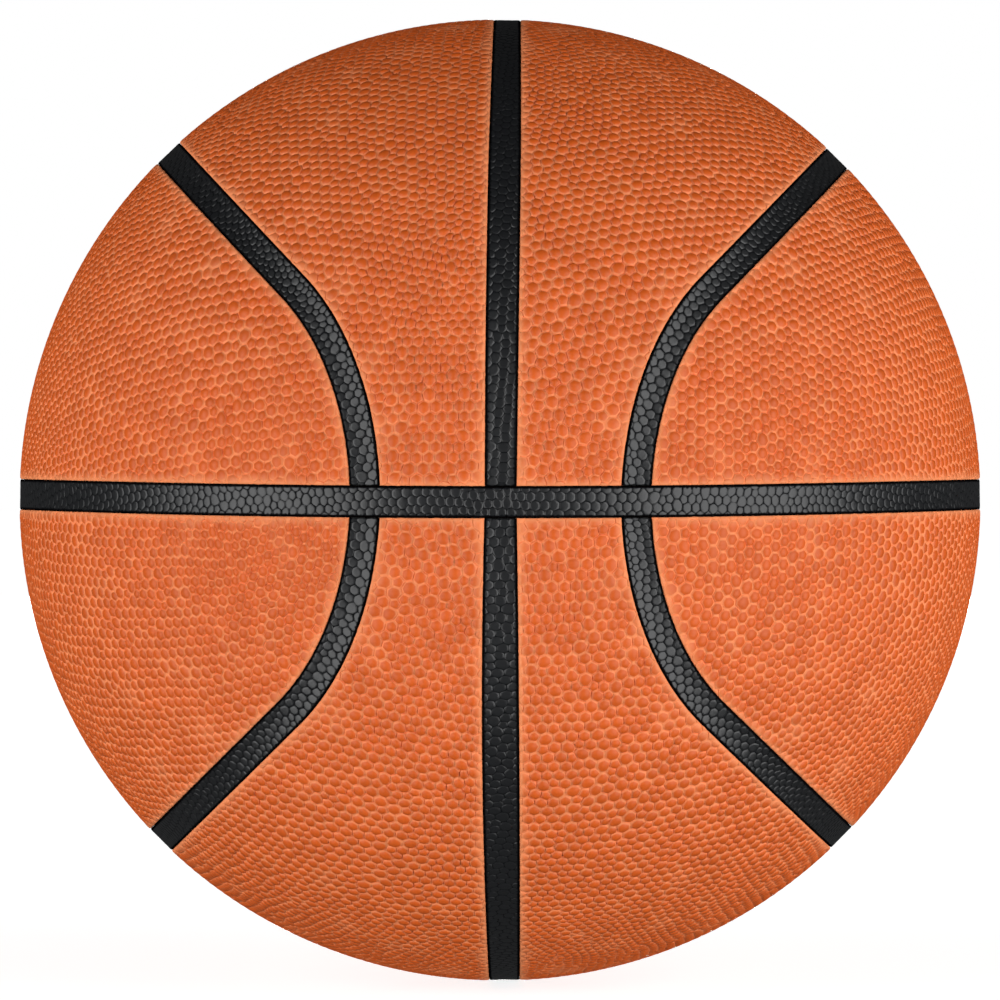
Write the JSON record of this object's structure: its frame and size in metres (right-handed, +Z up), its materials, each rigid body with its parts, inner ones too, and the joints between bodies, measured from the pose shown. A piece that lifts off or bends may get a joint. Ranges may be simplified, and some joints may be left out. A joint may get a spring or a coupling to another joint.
{
  "type": "basketball",
  "caption": "Inflated ball with a pebbled composite leather cover, recessed black channel strips and a needle valve behind.",
  "frame": {"origin": "centre of the ball", "axes": "+Z up; -Y towards the crossing of two channels in front; the unbroken channel strip lies in the XY plane, the strip over the top in the YZ plane, and one oval is centred on +X and one on -X"},
  "size_m": [0.2418, 0.2418, 0.2418],
  "materials": {
    "composite_leather": "satin",
    "black_composite": "satin",
    "sponge_rubber": "matte",
    "carcass_rubber": "matte",
    "nylon_thread": "satin",
    "butyl_rubber": "satin",
    "valve_rubber": "satin",
    "valve_soft_rubber": "matte"
  },
  "bodies": {
    "root": {"bladder": "butyl_rubber", "valve_boot": "valve_rubber", "valve_insert": "valve_soft_rubber", "winding": "nylon_thread", "carcass": "carcass_rubber", "upper_left_crown_sponge": "sponge_rubber", "upper_right_crown_sponge": "sponge_rubber", "lower_left_crown_sponge": "sponge_rubber", "lower_right_crown_sponge": "sponge_rubber", "upper_left_side_sponge": "sponge_rubber", "upper_right_side_sponge": "sponge_rubber", "lower_left_side_sponge": "sponge_rubber", "lower_right_side_sponge": "sponge_rubber", "upper_left_crown_panel": "composite_leather", "upper_right_crown_panel": "composite_leather", "lower_left_crown_panel": "composite_leather", "lower_right_crown_panel": "composite_leather", "upper_left_side_panel": "composite_leather", "upper_right_side_panel": "composite_leather", "lower_left_side_panel": "composite_leather", "lower_right_side_panel": "composite_leather", "equator_strip": "black_composite", "top_strip": "black_composite", "bottom_strip": "black_composite", "upper_left_oval_strip": "black_composite", "upper_right_oval_strip": "black_composite", "lower_left_oval_strip": "black_composite", "lower_right_oval_strip": "black_composite"}
  },
  "joints": []
}
